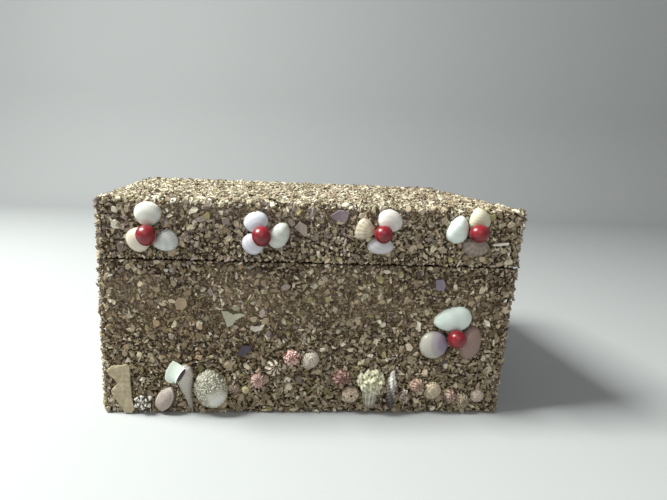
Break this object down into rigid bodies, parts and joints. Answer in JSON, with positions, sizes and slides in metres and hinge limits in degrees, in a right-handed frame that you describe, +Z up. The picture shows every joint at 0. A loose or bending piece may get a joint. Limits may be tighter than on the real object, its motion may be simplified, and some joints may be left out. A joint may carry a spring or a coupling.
{
  "type": "shell box",
  "caption": "Rectangular keepsake box with a lift-off lid, crusted with crushed sea shell, with shell-petal flowers and a row of whole shells on its front.",
  "frame": {"origin": "centre of the underside of the wooden bottom, on the surface that the box stands on", "axes": "+X from left to right along the long side, +Y from the front to the back, +Z up"},
  "size_m": [0.25, 0.1832, 0.134],
  "materials": {
    "board": "matte",
    "crushed_shell": "matte",
    "red_seed": "gloss",
    "white_valve": "satin",
    "brown_valve": "satin",
    "coiled_shell": "satin",
    "rough_shell": "matte",
    "shell_chip": "satin"
  },
  "bodies": {
    "root": {"wooden_box": "board", "wooden_lid": "board", "box_crust": "crushed_shell", "lid_crust": "crushed_shell", "flower1_seed": "red_seed", "flower2_seed": "red_seed", "flower3_seed": "red_seed", "flower4_seed": "red_seed", "flower5_seed": "red_seed", "flower1_petal_top": "white_valve", "flower1_petal_left": "white_valve", "flower1_petal_right": "white_valve", "flower2_petal_top": "white_valve", "flower2_petal_right": "white_valve", "flower2_petal_left": "white_valve", "flower3_petal_top": "white_valve", "flower3_petal_bottom": "white_valve", "flower4_petal_left": "white_valve", "flower4_petal_top": "white_valve", "flower5_petal_top": "white_valve", "flower5_petal_left": "white_valve", "flower3_petal_left": "brown_valve", "flower4_petal_bottom": "brown_valve", "flower5_petal_right": "brown_valve", "snail_dark": "coiled_shell", "snail_cream": "coiled_shell", "snail_rose": "coiled_shell", "snail_zebra": "coiled_shell", "snail_pink": "coiled_shell", "snail_speckled": "coiled_shell", "snail_red": "coiled_shell", "snail_umbilicus": "coiled_shell", "snail_grey": "coiled_shell", "snail_coral": "coiled_shell", "snail_net": "coiled_shell", "snail_blush": "coiled_shell", "snail_ribbed": "coiled_shell", "snail_last": "coiled_shell", "knobby_shell": "rough_shell", "oval_clam": "rough_shell", "cockle": "rough_shell", "broken_whelk": "rough_shell", "barnacle_shell": "rough_shell", "murex": "rough_shell", "plate": "rough_shell", "chip_purple_shard": "shell_chip", "chip_grey_shard": "shell_chip", "chip_white_sliver": "shell_chip", "chip_green_shard": "shell_chip", "chip_white_curl": "shell_chip", "chip_dark_purple": "shell_chip", "chip_violet": "shell_chip", "chip_ochre": "shell_chip"}
  },
  "joints": []
}
